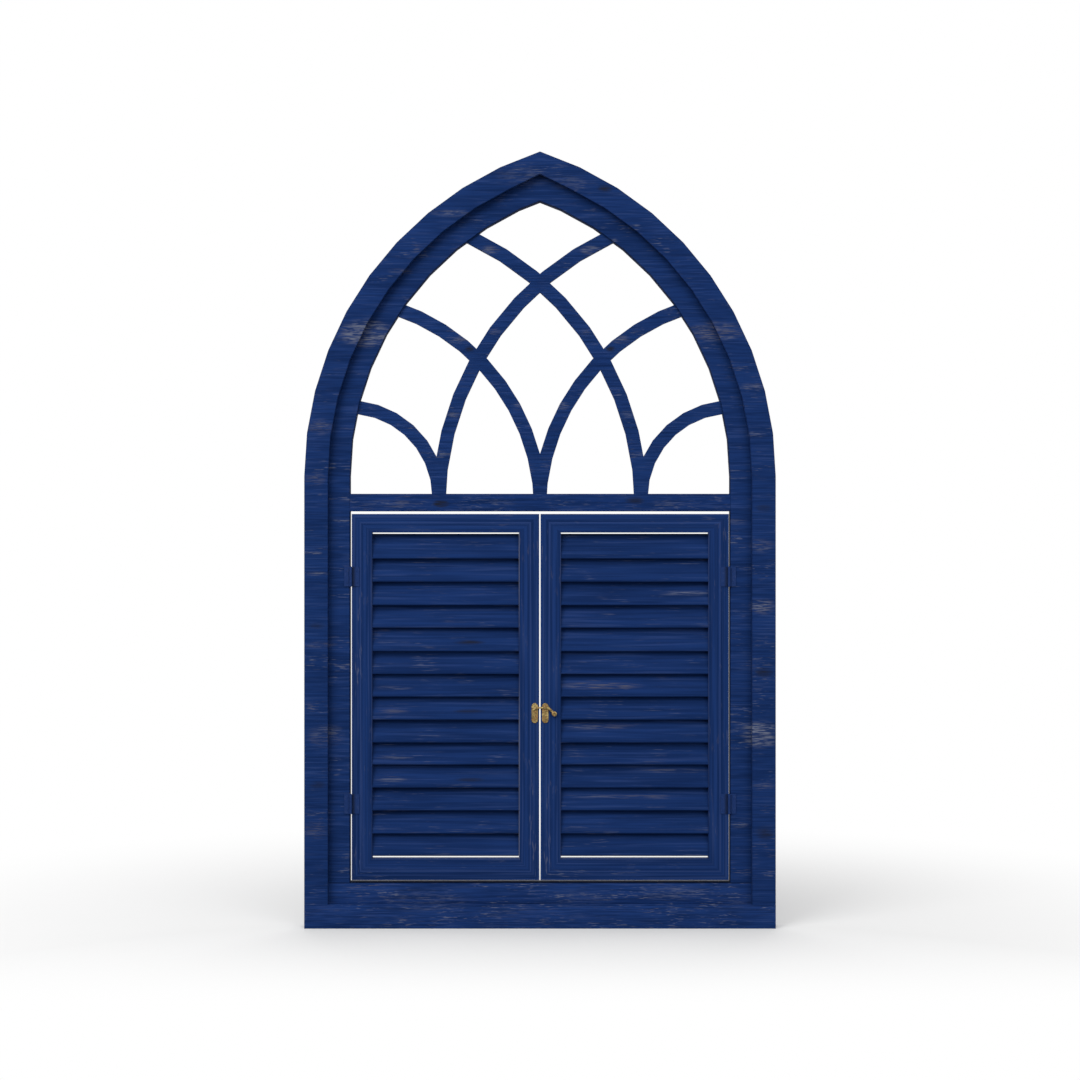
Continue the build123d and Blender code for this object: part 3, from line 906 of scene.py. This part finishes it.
@dataclass
class WindowFrame:
    """Casing, inner frame and transom, with the paint of the tracery, whose bars are the CAD nodes."""

    arch: ArchLine = field(default_factory=ArchLine)
    casing: float = 0.060
    band: float = 0.054
    casing_front: float = -0.031
    band_front: float = -0.009
    back: float = 0.031
    transom: Point = (1.0625, 1.107)
    arris: Arris = field(default_factory=Arris)

    @property
    def opening(self) -> float:
        """Half the opening's width."""
        return self.arch.half_width - self.casing - self.band

    def _run(self, outer_inset: float, inner_inset: float, foot: float, front: float) -> Surface:
        """Return the left jamb and arch half as one run.

        Args:
            outer_inset: The outer line's inset.
            inner_inset: The inner line's inset.
            foot: The height where the jamb starts.
            front: The depth of its front face.

        Returns:
            The run as a closed surface.
        """
        lines = []
        for inset in (outer_inset, inner_inset):
            line = self.arch.left(inset, to_middle=inset != self.casing)
            lines.append(np.vstack([[(inset - self.arch.half_width, foot)], line]))
        return timber(lines[0], lines[1], front, self.back, self.arris, inner_inset - outer_inset)

    def _straight(self, reach: float, height: Point, front: float) -> Surface:
        """Return a level member.

        Args:
            reach: Half its length.
            height: Its lower and upper Z.
            front: The depth of its front face.

        Returns:
            The member as a closed surface.
        """
        low, high = (np.array([[-reach, z], [reach, z]]) for z in height)
        return timber(low, high, front, self.back, self.arris, height[1] - height[0])

    def build(self, paints: dict[str, bpy.types.Material]) -> None:
        """Make the frame's pieces.

        Args:
            paints: The paints of "casing", "band", "sill", "low_rail", "transom" and "bars".
        """
        half, inner = self.arch.half_width, self.arch.half_width - self.casing
        casing = self._run(0.0, self.casing, self.casing, self.casing_front)
        band = self._run(self.casing, self.casing + self.band, self.casing + self.band, self.band_front)
        for side in Side:
            turned = side is Side.RIGHT
            for word, run in (("casing", casing), ("band", band)):
                nodes = (f"{word}_jamb_{side.word}", f"{word}_arch_{side.word}")
                shape = run.mirrored() if turned else run
                show(f"{word}_{side.word}", shape, paints[word], "frame", nodes)
        members = {
            "casing_sill": self._straight(half, (0.0, self.casing), self.casing_front),
            "band_rail": self._straight(inner, (self.casing, self.casing + self.band), self.band_front),
            "transom": self._straight(self.opening, self.transom, self.band_front),
        }
        for name, surface in members.items():
            word = {"casing_sill": "sill", "band_rail": "low_rail"}.get(name, name)
            show(f"{name}_timber", surface, paints[word], "frame", (name,))
        for name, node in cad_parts.items():
            if name.startswith("tracery"):
                dress(node, paints["bars"])


def dress(node: bpy.types.Object, material: bpy.types.Material) -> None:
    """Give a CAD node its finish."""
    node.data.materials.clear()
    node.data.materials.append(material)


# The shutters


@dataclass
class Shutter:
    """One louvred leaf with mitred stiles and rails."""

    side: Side
    outer: float = 0.4808
    inner: float = 0.0020
    low: float = 0.1202
    high: float = 1.0555
    stile: float = 0.052
    top_rail: float = 0.0475
    bottom_rail: float = 0.0546
    front: float = -0.009
    back: float = 0.019
    slat_drops: tuple[float, ...] = (0.5, 1.3, 2.5, 1.8, 3.3, 3.0, 2.7, 3.1, 3.1, 1.0, 1.2, 1.1, 1.6, 0.0)
    slat: Point = (0.067, 0.007)
    slat_round: float = 0.003
    slat_strip: Point = (0.004, 0.0002)
    slat_turn: float = math.radians(72.0)
    slat_gaps: Point = (0.0065, 0.0024)
    housing: float = 0.008
    arris: Arris = field(default_factory=lambda: Arris(0.0005, 0.0016, 3, (0.0, 0.15, 0.0, 0.0)))
    rubbed_stile: Arris = field(default_factory=lambda: Arris(0.0007, 0.0014, 3, (0.0, 1.0, 0.0, 0.0)))

    def _corners(self) -> tuple[np.ndarray, np.ndarray]:
        """Return the leaf's outer and inner corners, from the lower hinge side round to the upper."""
        left, right, stile = -self.outer, -self.inner, self.stile
        outside = np.array([[left, self.low], [right, self.low], [right, self.high], [left, self.high]])
        up, down = self.bottom_rail, -self.top_rail
        return outside, outside + np.array([[stile, up], [-stile, up], [-stile, down], [stile, down]])

    def _slats(self) -> Surface:
        """Return the slats: a rounded section turned to its slope, repeated down the leaf and drawn along X.

        Slat i sits at an even share i of the height, less its own drop in millimetres.

        Returns:
            All the slats as one surface.
        """
        outside, inside = self._corners()
        width, thick = self.slat
        strip, lift = self.slat_strip
        table, wear = Arris(self.slat_round, strip, 5).ring()
        u = self.slat_round * table[:, 2] + (self.slat_round + strip) * table[:, 4]
        v = self.slat_round * table[:, 3] + lift * table[:, 5]
        u = np.where(table[:, 0] > 0, width - u, u) - width / 2
        v = np.where(table[:, 1] > 0, thick - v, v) - thick / 2
        cos, sin = math.cos(self.slat_turn), math.sin(self.slat_turn)
        y = (self.front + self.back) / 2 + u * cos - v * sin
        z = u * sin + v * cos
        inset = 2 * self.slat_round
        rise = (width - inset) * sin + (thick - inset) * cos + inset
        bottom = inside[0, 1] + self.slat_gaps[0] + rise / 2
        top = inside[2, 1] - self.slat_gaps[1] - rise / 2
        ends = np.array([inside[0, 0] - self.housing, inside[1, 0] + self.housing])
        drops = MILLIMETRE * np.array(self.slat_drops)
        rings = [
            np.stack(np.broadcast_arrays(ends[:, None], y[None], (z + height)[None]), -1)
            for height in np.linspace(top, bottom, len(drops)) - drops
        ]
        return joined([tube_surface(ring, wear) for ring in rings])

    def build(self, framing: bpy.types.Material, blades: bpy.types.Material) -> None:
        """Make the leaf's pieces.

        Args:
            framing: The paint of the stiles and rails.
            blades: The paint of the slats.
        """
        outside, inside = self._corners()
        body = f"{self.side.word}_leaf"
        members = {
            "bottom_rail": ([0, 1], self.bottom_rail),
            "meeting_stile": ([1, 2], self.stile),
            "top_rail": ([2, 3], self.top_rail),
            "hinge_stile": ([3, 0], self.stile),
        }
        for name, (ends, width) in members.items():
            rubbed = name == "meeting_stile" and self.side is Side.LEFT
            arris = self.rubbed_stile if rubbed else self.arris
            member = timber(outside[ends], inside[ends], self.front, self.back, arris, width)
            self._show(name, member, framing, body)
        self._show("slats", self._slats(), blades, body)

    def _show(self, name: str, surface: Surface, paint: bpy.types.Material, body: str) -> None:
        """Make one of the leaf's pieces, mirrored on the right.

        Args:
            name: The piece's name without its side.
            surface: The left leaf's surface.
            paint: Its finish.
            body: The CAD body that it rides on.
        """
        turned = surface.mirrored() if self.side is Side.RIGHT else surface
        word = self.side.word
        show(f"{word}_{name}_timber", turned, paint, body, (f"{word}_{name}",))


@dataclass
class HingeDetail:
    """Screws and washers of the butt hinges, whose plates, knuckles and pins are the CAD nodes."""

    middles: Point = (0.8955, 0.3150)
    pin: Point = (-0.48325, -0.0133)
    plate_front: float = -0.011
    height: float = 0.050
    knuckles: int = 5
    gap: float = 0.0004
    washer: float = 0.0037
    frame_screw: float = -0.4945
    leaf_screw: float = -0.4680
    screw_spread: float = 0.0155
    head: Point = (0.0030, 0.0005)
    slot_turns: Point = (0.7, 1.3)
    play: float = 0.00002

    def _screws(self, across: float) -> Surface:
        """Return the slotted heads in one plate of each of a leaf's hinges.

        Args:
            across: The X of the plate's screws on the left.

        Returns:
            The screw heads as one surface.
        """
        places = [(across, middle + way * self.screw_spread) for middle in self.middles for way in (-1, 1)]
        radius, proud = self.head
        first, step = self.slot_turns
        turns = [first + step * number for number in range(len(places))]
        return joined(
            [screw(place, self.plate_front, radius, proud, turn) for place, turn in zip(places, turns)]
        )

    def _washers(self) -> Surface:
        """Return the thin washers that close the gaps between knuckles."""
        pitch = (self.height + self.gap) / self.knuckles
        foot = [
            middle - self.height / 2 + number * pitch - self.gap
            for middle in self.middles
            for number in range(1, self.knuckles)
        ]
        profile = [(self.washer, self.play), (self.washer, self.gap - self.play)]
        return joined([lathe(profile, (*self.pin, height), Axis.UPWARD, 24) for height in foot])

    def build(self, paint: bpy.types.Material) -> None:
        """Make the details of both leaves' hinges and paint their CAD nodes.

        Args:
            paint: The painted steel.
        """
        for side in Side:
            pieces = {
                "hinge_washers": (self._washers(), "frame"),
                "hinge_frame_screws": (self._screws(self.frame_screw), "frame"),
                "hinge_leaf_screws": (self._screws(self.leaf_screw), f"{side.word}_leaf"),
            }
            for name, (surface, body) in pieces.items():
                turned = surface.mirrored() if side is Side.RIGHT else surface
                show(f"{side.word}_{name}", turned, paint, body)
            for part in ("hinge_frame_side", "hinge_leaf_side", "hinge_pins"):
                dress(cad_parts[f"{side.word}_{part}"], paint)


@dataclass
class Latch:
    """The swing latch: a plate on each meeting stile, a lever with a knob, and the keeper for its nose.

    The turned profiles are pairs of radius and height in millimetres.
    """

    plate_x: float = 0.0134
    plate_z: float = 0.547
    size: Point = (0.0164, 0.051)
    leaf_face: float = -0.009
    plate_face: float = -0.0115
    lever_back: float = -0.0119
    pivot: Point = (0.0134, 0.5653)
    nose_z: float = 0.5607
    bend: Point = (0.0234, 0.5587)
    knob: Point = (0.0365, 0.5454)
    bar: float = 0.005
    nose_start: float = 0.0052
    nose_reach: float = 0.01416
    nose_gap: float = 0.0006
    keeper: Point = (-0.0115, 0.5607)
    lip_start: float = -0.0095
    lip: Point = (-0.0180, 0.5537)
    screw_head: Point = (0.0032, 0.0007)
    slot_turns: Point = (0.5, 1.7)
    screws: Point = (0.5305, 0.5675)
    plate_soften: float = 0.0009
    hub: Point = (0.00525, 0.0022)
    arm: Point = (0.0034, 0.0029)
    lever_thick: Point = (0.004, 0.0038)
    keeper_thick: float = 0.0042
    cap_profile: tuple[Point, ...] = (
        (3.0, 0.0), (3.0, 4.8), (5.3, 4.8), (5.5, 5.1), (5.4, 5.9), (4.6, 6.5), (2.6, 6.75), (0.1, 6.8)
    )
    knob_profile: tuple[Point, ...] = (
        (5.7, 0.0), (6.4, 0.6), (6.5, 1.6), (6.5, 4.2), (6.1, 5.2), (5.2, 5.8),
        (3.9, 6.0), (2.9, 5.9), (2.3, 5.3), (1.5, 4.9), (0.1, 4.8)
    )
    post_profile: tuple[Point, ...] = ((3.2, 0.0), (3.2, 3.5), (2.8, 4.1), (1.8, 4.35), (0.1, 4.4))

    @staticmethod
    def _turned(profile: tuple[Point, ...], middle: Point, foot: float) -> Surface:
        """Return a shape turned about a line that points forward.

        Args:
            profile: Its profile in millimetres.
            middle: Its place in the front view.
            foot: The depth of its foot.

        Returns:
            The turned shape.
        """
        metres = [(radius * MILLIMETRE, height * MILLIMETRE) for radius, height in profile]
        return lathe(metres, (middle[0], foot, middle[1]))

    def _plate(self, side: Side, screws: tuple[float, ...]) -> Surface:
        """Return a round-ended plate with its screws.

        Args:
            side: The side that it is on.
            screws: The heights of its screws.

        Returns:
            The plate and its screw heads.
        """
        x = side.value * self.plate_x
        outline = rounded_box((x, self.plate_z), self.size, self.size[0] / 2 - 0.00001)
        radius, proud = self.screw_head
        first, step = self.slot_turns
        turns = [first + step * number for number in range(len(screws))]
        heads = [screw((x, z), self.plate_face, radius, proud, turn) for z, turn in zip(screws, turns)]
        return joined([plate(outline, self.leaf_face, self.plate_face, self.plate_soften), *heads])

    def _cap(self) -> Surface:
        """Return the stud and its domed cap, turned about the pivot."""
        return self._turned(self.cap_profile, self.pivot, self.plate_face)

    def _lever(self) -> Surface:
        """Return the hub, the curved arm with its dished knob, and the nose.

        The hub is a ring, so it is carried round a circle about the pivot.
        """
        turn = np.linspace(0, 2 * math.pi, 33)
        pivot = np.array(self.pivot)
        reach, half_ring = self.hub
        hub_thick, arm_thick = self.lever_thick
        ring = pivot + reach * np.stack([np.cos(turn), np.sin(turn)], -1)
        hub = swept(ring, np.full(len(turn), half_ring), self.lever_back, hub_thick)
        start = pivot + (np.array(self.bend) - pivot) * 0.5
        path = curve_through([tuple(start), self.bend, self.knob], 10)
        arm = swept(path, np.linspace(*self.arm, len(path)), self.lever_back, arm_thick)
        ball = self._turned(self.knob_profile, self.knob, self.lever_back)
        nose = self._level_bar(self.pivot[0] - self.nose_start, self.nose_reach, self.lever_back, arm_thick)
        return joined([hub, arm, ball, nose])

    def _level_bar(self, start: float, reach: float, back: float, thick: float) -> Surface:
        """Return a level bar whose end is cut to a circle about the pivot.

        Station s of the bar is at x = a + s (b - sqrt(r^2 - (z - c)^2) - a), with (b, c) the pivot and
        r the reach, so that the nose can turn past the keeper.

        Args:
            start: The X where the bar starts, a.
            reach: The circle's radius, r.
            back: The depth of its back.
            thick: Its thickness.

        Returns:
            The bar as a closed surface.
        """
        angle = np.linspace(0, 2 * math.pi, 20, endpoint=False)
        z = self.nose_z + self.bar / 2 * squared(np.cos(angle))
        y = back - thick / 2 * (1 + squared(np.sin(angle)))
        end = self.pivot[0] - np.sqrt(reach**2 - (z - self.pivot[1]) ** 2)
        x = start + np.linspace(0, 1, 6)[:, None] * (end - start)
        return tube_surface(np.stack(np.broadcast_arrays(x, y, z), -1))

    def _keeper(self) -> Surface:
        """Return the keeper's bar and lip and the post that carries them."""
        thick = self.keeper_thick
        path = curve_through([(self.lip_start, self.nose_z), self.keeper, self.lip], 8)
        lip = swept(path, eased(len(path), self.bar, (0.12, 0.15)), self.plate_face, thick)
        bar = self._level_bar(self.keeper[0], self.nose_reach + self.nose_gap, self.plate_face, thick)
        post = self._turned(self.post_profile, self.keeper, self.plate_face)
        return joined([bar, lip, post])

    def build(self, brass: bpy.types.Material, darkened: bpy.types.Material) -> None:
        """Make the latch in place of its CAD nodes.

        Args:
            brass: The finish of the plates, lever and keeper.
            darkened: The finish of the cap on the pivot.
        """
        right_plate = self._plate(Side.RIGHT, self.screws[:1])
        left_plate = self._plate(Side.LEFT, self.screws)
        pieces = [
            ("latch_right_plate", right_plate, brass, "right_leaf", ("latch_plate",)),
            ("latch_pivot_cap", self._cap(), darkened, "right_leaf", ()),
            ("latch_swing_lever", self._lever(), brass, "lever", ("latch_lever",)),
            ("latch_left_plate", left_plate, brass, "left_leaf", ("latch_keeper",)),
            ("latch_keeper_bar", self._keeper(), brass, "left_leaf", ()),
        ]
        for name, surface, finish, body, nodes in pieces:
            show(name, surface, finish, body, nodes)


# The studio


def clear_rays(graph: Graph) -> Signal:
    """Return 1 for the rays that see the studio as a white backdrop: camera, glossy and transmission rays."""
    camera = graph.node("ShaderNodeLightPath", output="Is Camera Ray")
    return camera.larger(camera.other("Is Glossy Ray")).larger(camera.other("Is Transmission Ray"))


@dataclass
class Studio:
    """Floor, backdrop, lamps and camera."""

    eye: Place = (0.0, -5.756, 0.989)
    lens: float = 75.0
    aim: Place = (0.0, 0.0, 0.9)
    world: float = 0.38
    reach: float = 60.0
    lamps: tuple = (
        ("key", (-4.4, -5.9, 5.2), 5.0, 385.0),
        ("top", (0.0, -5.4, 8.0), 8.0, 460.0),
        ("fill", (4.6, -6.8, 1.4), 4.0, 120.0),
        ("back", (0.0, 6.4, 7.0), 7.0, 430.0),
        ("left", (-8.0, 0.8, 2.6), 4.0, 140.0),
        ("right", (8.0, 0.8, 2.6), 4.0, 120.0),
    )

    def build(self) -> None:
        """Make the studio."""
        self._camera()
        self._floor()
        self._world()
        for name, place, size, power in self.lamps:
            self._lamp(name, place, size, power)
        bpy.context.scene.view_settings.view_transform = "Standard"

    def _camera(self) -> None:
        """Set the camera level, straight in front of the window at half its height."""
        lens = bpy.data.cameras.new("camera")
        lens.lens, lens.sensor_width = self.lens, 36.0
        eye = bpy.data.objects.new("camera", lens)
        eye.location = self.eye
        eye.rotation_euler = (math.pi / 2, 0.0, 0.0)
        bpy.context.scene.collection.objects.link(eye)
        bpy.context.scene.camera = eye

    def _floor(self) -> None:
        """Lay a pale floor that turns white with the distance from the object."""
        graph = Graph.named("studio_floor")
        place = graph.place()
        away = graph.node("ShaderNodeVectorMath", {"operation": "LENGTH"}, {0: place}, "Value")
        nearer = 0.3 - graph.node("ShaderNodeSeparateXYZ", inputs={0: place}).other("Y")
        camera = graph.node("ShaderNodeLightPath", output="Is Camera Ray")
        shade = graph.blend(camera, (0.25, 0.25, 0.25), (0.62, 0.62, 0.62))
        pale = graph.node("ShaderNodeBsdfDiffuse", {}, {"Color": shade})
        white = graph.node("ShaderNodeEmission", {}, {"Color": (1.0, 1.0, 1.0, 1.0), "Strength": 1.0})
        share = (0.12 + 0.88 * away.band(0.55, 2.2)).larger(nearer.band(0.0, 1.3)) * clear_rays(graph)
        material = graph.finish(graph.node("ShaderNodeMixShader", {}, {0: share, 1: pale, 2: white}))
        mesh = bpy.data.meshes.new("floor")
        corners = [(x * self.reach, y * self.reach, 0.0) for x, y in ((-1, -1), (1, -1), (1, 1), (-1, 1))]
        mesh.from_pydata(corners, [], [(0, 1, 2, 3)])
        mesh.materials.append(material)
        floor = bpy.data.objects.new("floor", mesh)
        bpy.context.scene.collection.objects.link(floor)

    def _world(self) -> None:
        """Light the studio evenly, with white behind the object."""
        world = bpy.data.worlds.new("studio")
        bpy.context.scene.world = world
        graph = Graph(world)
        soft = graph.node("ShaderNodeBackground", {}, {"Color": (*[self.world] * 3, 1.0)})
        white = graph.node("ShaderNodeBackground", {}, {"Color": (1.0, 1.0, 1.0, 1.0)})
        graph.finish(graph.node("ShaderNodeMixShader", {}, {0: clear_rays(graph), 1: soft, 2: white}))

    def _lamp(self, name: str, place: tuple, size: float, power: float) -> None:
        """Hang a square lamp that faces the window's middle.

        Args:
            name: The lamp's name.
            place: Where it hangs.
            size: Its width.
            power: Its power in watts.
        """
        data = bpy.data.lights.new(name, "AREA")
        data.size, data.energy = size, power
        lamp = bpy.data.objects.new(name, data)
        lamp.location = place
        way = np.array(self.aim) - np.array(place)
        lift = math.atan2(math.hypot(way[0], way[1]), -way[2])
        heading = math.atan2(way[0], -way[1]) + math.pi
        lamp.rotation_euler = (lift, 0.0, heading)
        bpy.context.scene.collection.objects.link(lamp)


def paints() -> dict[str, bpy.types.Material]:
    """Return the blue paints by the members that they cover."""
    sides = WornPaint(
        "blue_paint_sides",
        run=7.0,
        contrast=0.9,
        strays=0.6,
        worn=(
            Patch(-0.443, 1.516, 0.080, 0.042, 0.95),
            Patch(-0.560, 1.277, 0.040, 0.026, 0.6),
            Patch(-0.573, 1.143, 0.035, 0.024, 0.55),
            Patch(-0.229, 1.821, 0.060, 0.012, 0.55),
            Patch(-0.045, 1.915, 0.110, 0.034, 0.3),
            Patch(-0.356, 1.673, 0.040, 0.010, 0.5),
            Patch(-0.580, 0.956, 0.030, 0.006, 0.9),
            Patch(-0.568, 0.903, 0.038, 0.006, 0.7),
            Patch(-0.560, 0.722, 0.050, 0.012, 0.5),
            Patch(-0.545, 0.490, 0.060, 0.036, 0.45),
            Patch(-0.570, 0.250, 0.040, 0.032, 0.55),
            Patch(-0.508, 1.040, 0.028, 0.008, 0.6),
            Patch(0.450, 1.521, 0.080, 0.030, 0.85),
            Patch(0.540, 1.380, 0.036, 0.012, 0.6),
            Patch(0.552, 1.258, 0.030, 0.012, 0.45),
            Patch(0.080, 1.900, 0.080, 0.026, 0.3),
            Patch(0.560, 0.495, 0.055, 0.042, 0.85),
            Patch(0.567, 0.820, 0.040, 0.026, 0.75),
            Patch(0.567, 0.975, 0.040, 0.024, 0.5),
            Patch(0.505, 1.037, 0.034, 0.012, 0.5),
            Patch(0.567, 0.362, 0.036, 0.014, 0.5),
            Patch(0.508, 0.262, 0.030, 0.010, 0.5),
        ),
        stained=(
            Patch(-0.567, 0.770, 0.030, 0.012, 0.45),
            Patch(-0.565, 0.365, 0.030, 0.014, 0.4),
            Patch(0.165, 1.883, 0.026, 0.012, 0.6),
            Patch(0.570, 0.652, 0.030, 0.016, 0.5),
            Patch(0.572, 0.243, 0.032, 0.024, 0.5),
            Patch(0.570, 1.070, 0.028, 0.012, 0.5),
        ),
    )
    rails = WornPaint(
        "blue_paint_rails",
        run=8.0,
        dashes=(38.0, 420.0),
        contrast=1.1,
        strays=0.85,
        gathered=(0.42, 0.64),
        shift=(0.4, 0.2, 0.5),
        # A lighter base than the sides' paint: painted light on the sill and low rail.
        base=tone(29, 55, 109),
        worn=(
            Patch(-0.380, 1.083, 0.090, 0.014, 0.4),
            Patch(-0.090, 1.083, 0.040, 0.012, 0.3),
            Patch(0.330, 1.083, 0.070, 0.012, 0.3),
            Patch(0.335, 0.088, 0.100, 0.030, 0.36),
            Patch(0.115, 0.075, 0.120, 0.034, 0.24),
            Patch(0.500, 0.070, 0.080, 0.036, 0.2),
            Patch(-0.300, 0.070, 0.160, 0.040, 0.28),
            Patch(-0.070, 0.040, 0.110, 0.030, 0.26),
            Patch(-0.550, 0.050, 0.060, 0.024, 0.2),
        ),
        stained=(Patch(-0.252, 1.082, 0.026, 0.012, 0.8), Patch(0.242, 1.090, 0.030, 0.012, 0.6)),
    )
    bars = WornPaint(
        "blue_paint_tracery",
        run=8.0,
        contrast=1.15,
        strays=0.8,
        mirrored=True,
        shift=(1.3, 0.1, 0.2),
        worn=(
            Patch(0.130, 1.731, 0.034, 0.014, 0.7),
            Patch(0.206, 1.502, 0.036, 0.014, 0.5),
            Patch(0.116, 1.523, 0.022, 0.012, 0.5),
            Patch(0.221, 1.310, 0.024, 0.014, 0.5),
            Patch(0.056, 1.332, 0.024, 0.016, 0.5),
            Patch(0.250, 1.209, 0.026, 0.008, 0.5),
        ),
        stained=(Patch(0.180, 1.478, 0.016, 0.010, 0.6),),
    )
    slats = WornPaint(
        "blue_paint_slats",
        lines=120.0,
        run=3.0,
        dashes=(15.0, 420.0),
        contrast=0.75,
        strays=0.4,
        shift=(1.0, 4.0, 2.0),
        worn=(
            Patch(0.150, 0.616, 0.130, 0.011, 1.0),
            Patch(0.145, 0.513, 0.110, 0.012, 0.8),
            Patch(0.345, 0.398, 0.110, 0.007, 0.6),
            Patch(0.210, 0.333, 0.190, 0.007, 0.6),
            Patch(0.370, 0.853, 0.080, 0.009, 0.6),
            Patch(-0.375, 0.727, 0.055, 0.007, 0.45),
            Patch(-0.375, 0.611, 0.060, 0.007, 0.45),
            Patch(-0.375, 0.551, 0.055, 0.007, 0.45),
            Patch(-0.375, 0.434, 0.060, 0.007, 0.45),
            Patch(-0.375, 0.376, 0.060, 0.007, 0.45),
        ),
        stained=(
            Patch(-0.180, 0.727, 0.050, 0.007, 0.6),
            Patch(-0.180, 0.551, 0.050, 0.007, 0.6),
            Patch(-0.180, 0.376, 0.050, 0.007, 0.5),
        ),
    )
    leaf = WornPaint("blue_paint_leaf", Grain.FRAMED, lines=170.0, run=1.6, contrast=1.15, strays=0.4)
    return {
        "casing": sides.build(),
        # The band's reveal and the low rail's top under the leaves get a painted shade strip.
        "band": replace(sides, name="blue_paint_band", painted_shade_strip=(0.0531, 0.0539, 0.6)).build(),
        "sill": rails.build(),
        # The transom's copy has a darker base: painted shade.
        "transom": replace(rails, name="blue_paint_transom", base=tone(24, 49, 101), strays=0.45).build(),
        "low_rail": replace(rails, name="blue_paint_low_rail", painted_shade_strip=(0.0505, 0.0535, 0.9)).build(),
        "bars": bars.build(),
        "slats": slats.build(),
        "leaf": leaf.build(),
    }


def main() -> None:
    """Build the looks in order."""
    logging.basicConfig(level=logging.INFO, format="%(name)s: %(message)s")
    blue = paints()
    WindowFrame().build(blue)
    for shutter in (Shutter(Side.LEFT), Shutter(Side.RIGHT, outer=0.4824, inner=0.0014)):
        shutter.build(blue["leaf"], blue["slats"])
    HingeDetail().build(PaintedSteel().build())
    darkened = AgedBrass("darkened_brass", bright=tone(150, 124, 80), dull=tone(104, 80, 46))
    Latch().build(AgedBrass().build(), darkened.build())
    Studio().build()


if __name__ == "__main__":
    main()
